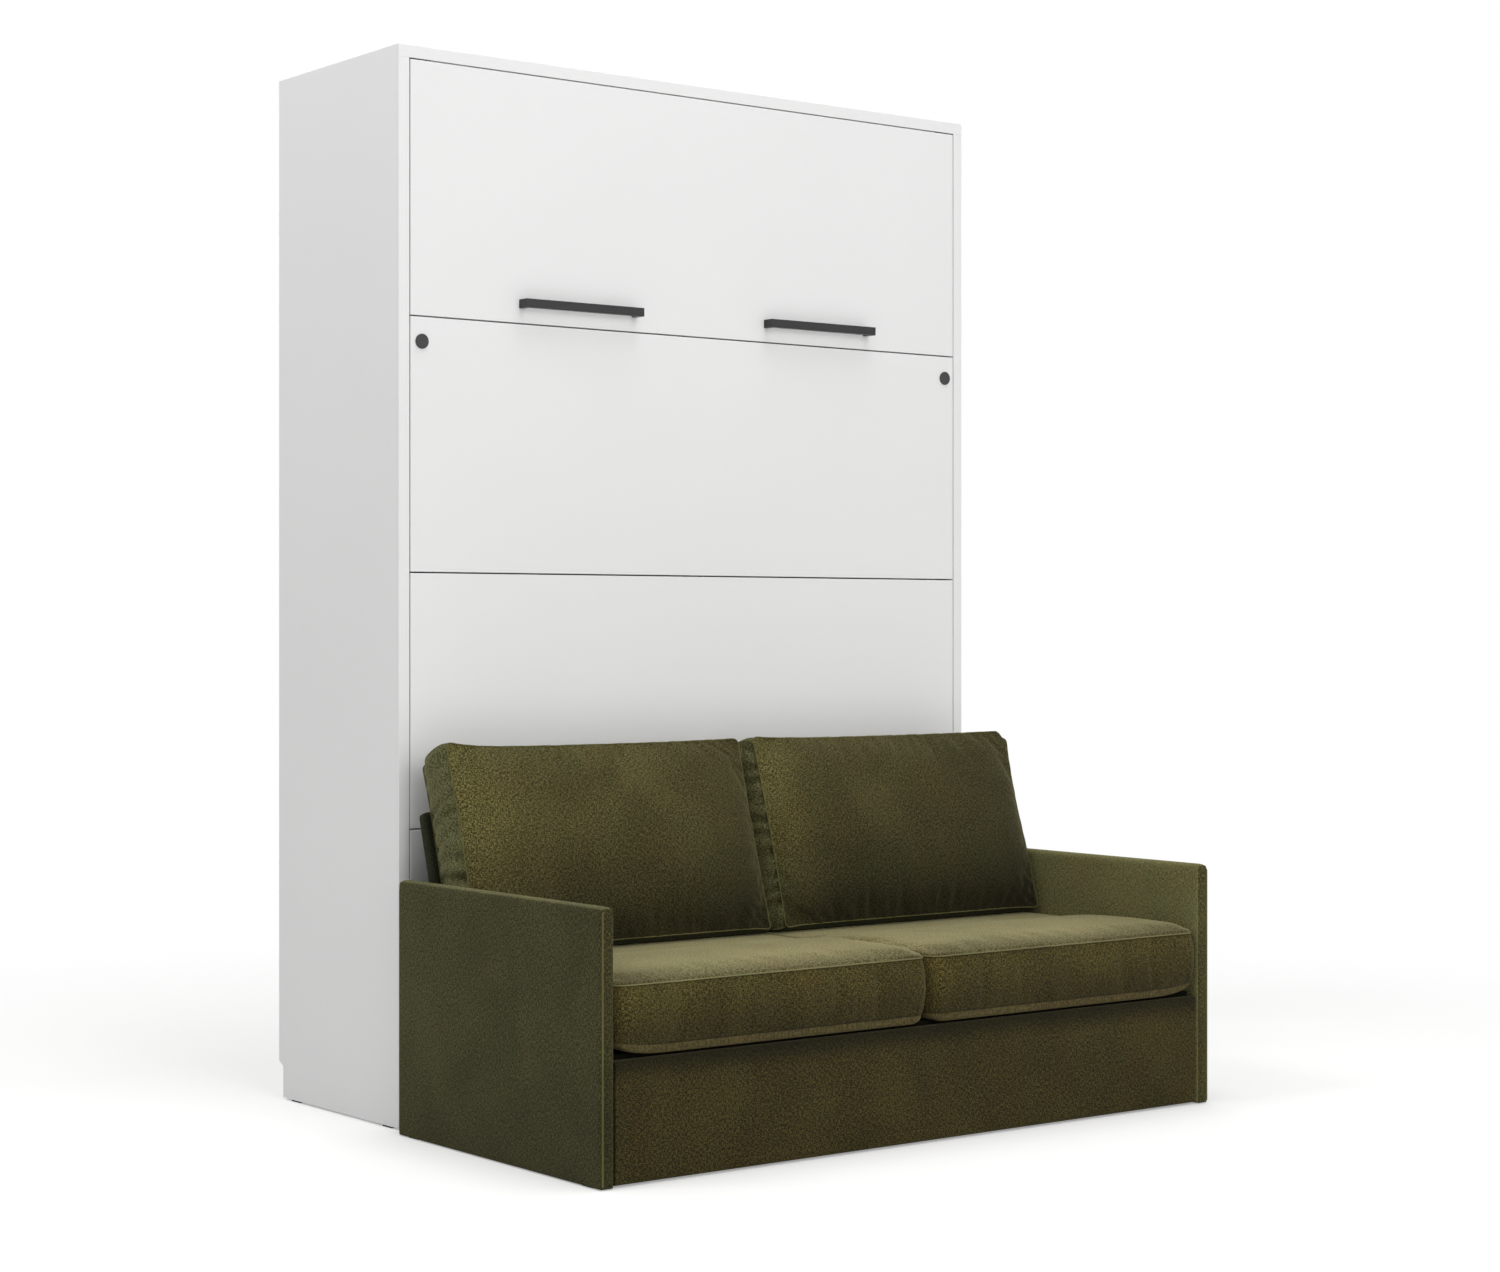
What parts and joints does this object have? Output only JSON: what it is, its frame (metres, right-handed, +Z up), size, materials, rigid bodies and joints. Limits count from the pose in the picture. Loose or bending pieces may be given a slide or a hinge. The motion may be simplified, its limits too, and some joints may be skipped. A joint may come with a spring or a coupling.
{
  "type": "wall bed with sofa",
  "caption": "Vertical wall bed that folds down from a tall cabinet over a sofa with loose cushions and a folding back.",
  "frame": {"origin": "on the floor, at the centre of the plan: half way between the wall face and the furthest point of the seat cushions", "axes": "+Z up, +Y to the wall behind the cabinet, +X to the right of someone facing the sofa"},
  "size_m": [1.586, 1.2329, 2.18],
  "materials": {
    "cabinet_white": "matt white melamine on chipboard",
    "raw_board": "plain plywood and battens",
    "slat_birch": "sprung birch laminate, satin",
    "olive_weave": "olive green mottled chenille",
    "mattress_ticking": "off-white knitted ticking",
    "strap_webbing": "woven strap",
    "handle_graphite": "brushed graphite",
    "frame_grey": "grey powder coat",
    "leg_graphite": "dark powder coat",
    "leg_steel": "drawn steel tube",
    "leg_cap": "near-black moulded nylon",
    "zinc_steel": "zinc plated",
    "bush_nylon": "natural nylon",
    "holder_black": "black moulded plastic",
    "stop_rubber": "black rubber",
    "strut_black": "black enamel",
    "rod_chrome": "polished rod"
  },
  "bodies": {
    "cabinet_and_sofa": {"side_panel_left": "cabinet_white", "side_panel_right": "cabinet_white", "top_panel": "cabinet_white", "plinth_board": "cabinet_white", "lower_rail": "cabinet_white", "back_panel": "cabinet_white", "wall_rail": "cabinet_white", "glides": "holder_black", "stop_pads": "stop_rubber", "carcass_brackets": "zinc_steel", "bracket_screws": "zinc_steel", "pivot_bushes": "bush_nylon", "strut_upper_studs": "zinc_steel", "arm_left": "olive_weave", "arm_right": "olive_weave", "apron": "olive_weave", "rear_panel": "olive_weave", "seat_deck": "raw_board", "deck_battens": "raw_board", "link_brackets": "zinc_steel", "hinge_knuckles": "zinc_steel", "hinge_pins": "zinc_steel", "seat_cushion_left": "olive_weave", "seat_cushion_right": "olive_weave"},
    "bed": {"front_board_top": "cabinet_white", "front_board_upper": "cabinet_white", "front_board_lower": "cabinet_white", "front_board_bottom": "cabinet_white", "handle_left": "handle_graphite", "handle_right": "handle_graphite", "handle_screws": "zinc_steel", "frame_rail_left": "frame_grey", "frame_rail_right": "frame_grey", "frame_cross_rails": "frame_grey", "centre_beam": "frame_grey", "slats": "slat_birch", "slat_holders": "holder_black", "mattress": "mattress_ticking", "mattress_straps": "strap_webbing", "pivot_plates": "frame_grey", "pivot_bolts": "zinc_steel", "strut_lower_studs": "zinc_steel", "leg_sleeves": "leg_graphite", "leg_clamps": "frame_grey"},
    "backrest": {"backrest": "olive_weave", "hinge_leaves": "zinc_steel"},
    "back_cushion_left": {"back_cushion_left": "olive_weave"},
    "strut_cylinder_left": {"strut_cylinder_left": "strut_black"},
    "strut_rod_left": {"strut_rod_left": "rod_chrome"},
    "leg_one_left": {"leg_draw_one_left": "leg_steel"},
    "leg_two_left": {"leg_draw_two_left": "leg_steel"},
    "leg_three_left": {"leg_draw_three_left": "leg_steel", "leg_foot_left": "leg_cap"},
    "back_cushion_right": {"back_cushion_right": "olive_weave"},
    "strut_cylinder_right": {"strut_cylinder_right": "strut_black"},
    "strut_rod_right": {"strut_rod_right": "rod_chrome"},
    "leg_one_right": {"leg_draw_one_right": "leg_steel"},
    "leg_two_right": {"leg_draw_two_right": "leg_steel"},
    "leg_three_right": {"leg_draw_three_right": "leg_steel", "leg_foot_right": "leg_cap"}
  },
  "joints": [
    {"name": "bed_fold", "type": "hinge", "parent": "cabinet_and_sofa", "child": "bed", "pos_m": [0, 0.1665, 0.515], "axis": [1, 0, 0], "range_deg": [0, 90]},
    {"name": "backrest_fold", "type": "hinge", "parent": "cabinet_and_sofa", "child": "backrest", "pos_m": [0, 0.0025, 0.44], "axis": [1, 0, 0], "range_deg": [0, 106]},
    {"name": "back_cushion_left_turn", "type": "hinge", "parent": "cabinet_and_sofa", "child": "back_cushion_left", "pos_m": [0, -0.3875, 0.396], "axis": [1, 0, 0], "range_deg": [0, 180]},
    {"name": "strut_left_swing", "type": "hinge", "parent": "cabinet_and_sofa", "child": "strut_cylinder_left", "pos_m": [-0.722, 0.4565, 0.9], "axis": [1, 0, 0], "range_deg": [0, 17.49]},
    {"name": "strut_left_stroke", "type": "slide", "parent": "strut_cylinder_left", "child": "strut_rod_left", "axis": [0, 0.4209, 0.9071], "range_m": [0, 0.30078]},
    {"name": "leg_one_left_draw", "type": "slide", "parent": "bed", "child": "leg_one_left", "axis": [0, -1, 0], "range_m": [0, 0.1571]},
    {"name": "leg_two_left_draw", "type": "slide", "parent": "leg_one_left", "child": "leg_two_left", "axis": [0, -1, 0], "range_m": [0, 0.1571]},
    {"name": "leg_three_left_draw", "type": "slide", "parent": "leg_two_left", "child": "leg_three_left", "axis": [0, -1, 0], "range_m": [0, 0.1571]},
    {"name": "back_cushion_right_turn", "type": "hinge", "parent": "cabinet_and_sofa", "child": "back_cushion_right", "pos_m": [0, -0.3875, 0.396], "axis": [1, 0, 0], "range_deg": [0, 180]},
    {"name": "strut_right_swing", "type": "hinge", "parent": "cabinet_and_sofa", "child": "strut_cylinder_right", "pos_m": [0.722, 0.4565, 0.9], "axis": [1, 0, 0], "range_deg": [0, 17.49]},
    {"name": "strut_right_stroke", "type": "slide", "parent": "strut_cylinder_right", "child": "strut_rod_right", "axis": [0, 0.4209, 0.9071], "range_m": [0, 0.30078]},
    {"name": "leg_one_right_draw", "type": "slide", "parent": "bed", "child": "leg_one_right", "axis": [0, -1, 0], "range_m": [0, 0.1571]},
    {"name": "leg_two_right_draw", "type": "slide", "parent": "leg_one_right", "child": "leg_two_right", "axis": [0, -1, 0], "range_m": [0, 0.1571]},
    {"name": "leg_three_right_draw", "type": "slide", "parent": "leg_two_right", "child": "leg_three_right", "axis": [0, -1, 0], "range_m": [0, 0.1571]}
  ],
  "couplings": [
    {"joint": "backrest_fold", "follows": "bed_fold", "ratio": 1.1778},
    {"joint": "back_cushion_left_turn", "follows": "bed_fold", "ratio": 2},
    {"joint": "strut_left_swing", "follows": "bed_fold", "ratio": 0.19435},
    {"joint": "strut_left_stroke", "follows": "bed_fold", "m_per_rad": 0.19148},
    {"joint": "leg_two_left_draw", "follows": "leg_one_left_draw", "ratio": 1},
    {"joint": "leg_three_left_draw", "follows": "leg_one_left_draw", "ratio": 1},
    {"joint": "back_cushion_right_turn", "follows": "bed_fold", "ratio": 2},
    {"joint": "strut_right_swing", "follows": "bed_fold", "ratio": 0.19435},
    {"joint": "strut_right_stroke", "follows": "bed_fold", "m_per_rad": 0.19148},
    {"joint": "leg_two_right_draw", "follows": "leg_one_right_draw", "ratio": 1},
    {"joint": "leg_three_right_draw", "follows": "leg_one_right_draw", "ratio": 1}
  ]
}
